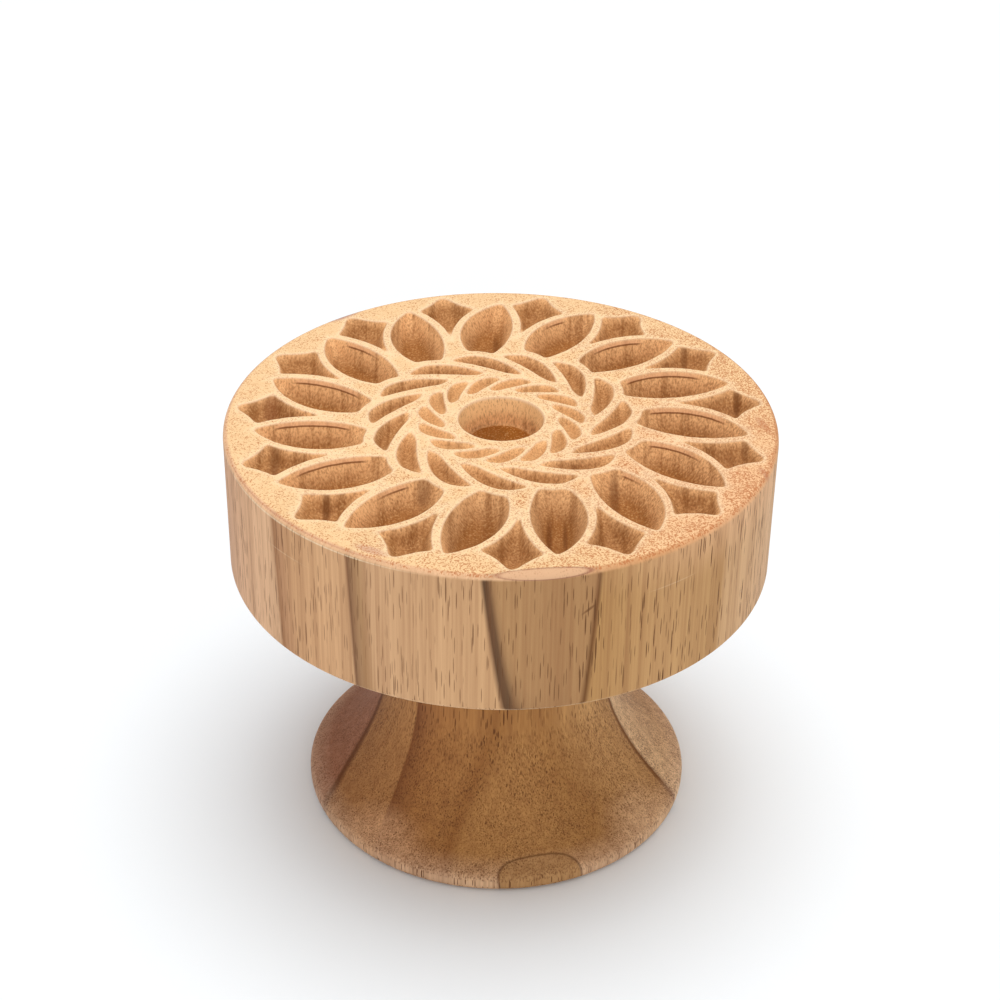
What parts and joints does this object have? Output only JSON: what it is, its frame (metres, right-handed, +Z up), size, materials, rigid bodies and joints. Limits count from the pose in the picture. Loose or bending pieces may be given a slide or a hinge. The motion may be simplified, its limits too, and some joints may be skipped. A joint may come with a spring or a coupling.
{
  "type": "cookie stamp",
  "caption": "Turned wooden cookie stamp: a thick disc with a carved swirling rosette, glued on a flared handle that it stands on.",
  "frame": {"origin": "centre of the handle's flat end face, which the stamp stands on", "axes": "+Z up along the turning axis to the carved face, +Y away from the picture's camera, +X to its right"},
  "size_m": [0.07, 0.07, 0.0565],
  "materials": {
    "head_wood": "turned and carved, sanded, unvarnished",
    "handle_wood": "turned, sanded, unvarnished",
    "dowel_wood": "fluted beech rod, as made"
  },
  "bodies": {
    "root": {"stamp_head": "head_wood", "handle": "handle_wood", "joining_dowel": "dowel_wood"}
  },
  "joints": []
}
